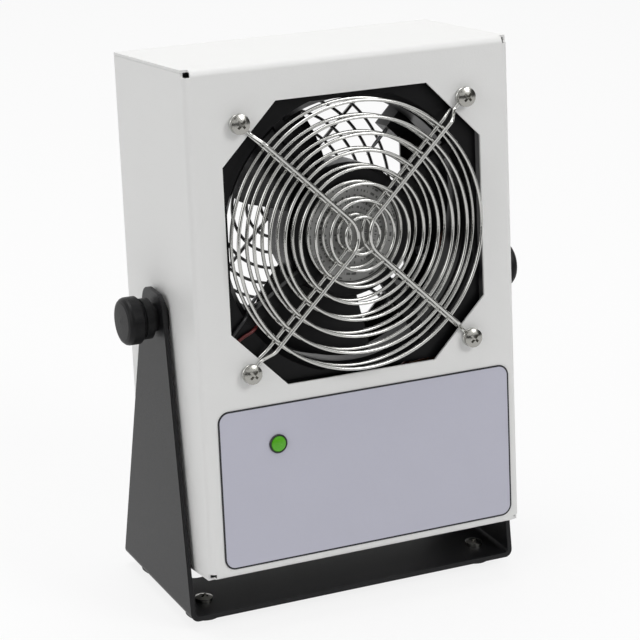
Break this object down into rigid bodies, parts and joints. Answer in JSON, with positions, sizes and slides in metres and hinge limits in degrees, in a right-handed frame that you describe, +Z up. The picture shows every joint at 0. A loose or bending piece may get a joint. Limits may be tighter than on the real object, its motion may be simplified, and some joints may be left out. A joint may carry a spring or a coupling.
{
  "type": "ionizing air blower",
  "caption": "Benchtop ionizing blower: a sheet-steel case with a guarded axial fan and emitter needles, tilting between two clamp knobs in a steel yoke stand.",
  "frame": {"origin": "on the table under the middle of the tilt axis", "axes": "-Y out of the front of the case, +X to the right seen from the front, +Z up"},
  "size_m": [0.1876, 0.1032, 0.2419],
  "materials": {
    "black_paint": "powder coat",
    "white_paint": "fine powder coat",
    "rubber": "matt",
    "zinc": "zinc plated",
    "nickel": "bright nickel",
    "black_plastic": "fine texture",
    "gloss_black": "smooth",
    "grey_film": "polyester film",
    "motor_film": "polyester film",
    "lamination": "stamped",
    "copper": "enamelled wire",
    "insulator": "moulded",
    "tungsten": "ground",
    "red_pvc": "insulated wire",
    "orange_pvc": "insulated wire",
    "green_pvc": "insulated wire",
    "brown_pvc": "insulated wire",
    "potting": "potted",
    "laminate_board": "solder resist",
    "brass_parts": "plain",
    "component_grey": "moulded",
    "clear_lens": "clear",
    "blue_plastic": "moulded",
    "nylon": "moulded"
  },
  "bodies": {
    "stand": {"stand_bracket": "black_paint", "rubber_feet": "rubber", "foot_screws": "nickel", "foot_nuts": "zinc"},
    "housing": {"front_shell": "white_paint", "back_panel": "white_paint", "front_guard": "nickel", "inner_guard": "nickel", "rear_guard": "nickel", "guard_screws": "nickel", "guard_nuts": "zinc", "fan_washers": "zinc", "rear_guard_screws": "nickel", "rear_guard_nuts": "zinc", "panel_screws": "nickel", "panel_nuts": "zinc", "fan_frame": "black_plastic", "motor_label": "motor_film", "motor_stator": "lamination", "motor_coils": "copper", "motor_bearings": "nickel", "emitter_holders": "insulator", "emitter_needles": "tungsten", "plus_leads": "red_pvc", "minus_leads": "orange_pvc", "ground_leads": "green_pvc", "mains_leads": "brown_pvc", "fan_lead_plus": "red_pvc", "fan_lead_minus": "potting", "high_voltage_block": "potting", "circuit_board": "laminate_board", "board_posts": "brass_parts", "board_parts": "component_grey", "lamp": "clear_lens", "lamp_bezel": "gloss_black", "front_label": "grey_film", "power_inlet": "gloss_black", "terminals": "nickel", "inlet_screws": "nickel", "switch_body": "gloss_black", "balance_trimmer": "blue_plastic", "trimmer_nut": "nickel", "clinch_nuts": "zinc", "tilt_washers": "nylon"},
    "fan_rotor": {"impeller": "black_plastic", "fan_shaft": "nickel"},
    "left_knob": {"knob_left": "gloss_black", "knob_stud_left": "zinc"},
    "right_knob": {"knob_right": "gloss_black", "knob_stud_right": "zinc"},
    "power_rocker": {"switch_rocker": "gloss_black"},
    "fuse_tray": {"fuse_drawer": "gloss_black"},
    "balance_adjuster": {"trimmer_screw": "brass_parts"}
  },
  "joints": [
    {"name": "housing_tilt", "type": "hinge", "parent": "stand", "child": "housing", "pos_m": [0, 0, 0.1305], "axis": [1, 0, 0], "range_deg": [-83, 97]},
    {"name": "fan_spin", "type": "hinge", "parent": "housing", "child": "fan_rotor", "pos_m": [0, -0.01322, 0.16436], "axis": [0, 0.9925, -0.1219], "continuous": true},
    {"name": "left_knob_turn", "type": "hinge", "parent": "housing", "child": "left_knob", "pos_m": [0, 0, 0.1305], "axis": [-1, 0, 0], "range_deg": [-30, 540]},
    {"name": "right_knob_turn", "type": "hinge", "parent": "housing", "child": "right_knob", "pos_m": [0, 0, 0.1305], "axis": [1, 0, 0], "range_deg": [-30, 540]},
    {"name": "rocker_tilt", "type": "hinge", "parent": "housing", "child": "power_rocker", "pos_m": [-0.014, 0.02916, 0.0574], "axis": [1, 0, 0], "range_deg": [-14, 0]},
    {"name": "fuse_tray_slide", "type": "slide", "parent": "housing", "child": "fuse_tray", "axis": [0, 0.9925, -0.1219], "range_m": [0, 0.0165]},
    {"name": "balance_turn", "type": "hinge", "parent": "housing", "child": "balance_adjuster", "pos_m": [-0.048, 0.02837, 0.0575], "axis": [0, 0.9925, -0.1219], "range_deg": [-135, 135]}
  ]
}
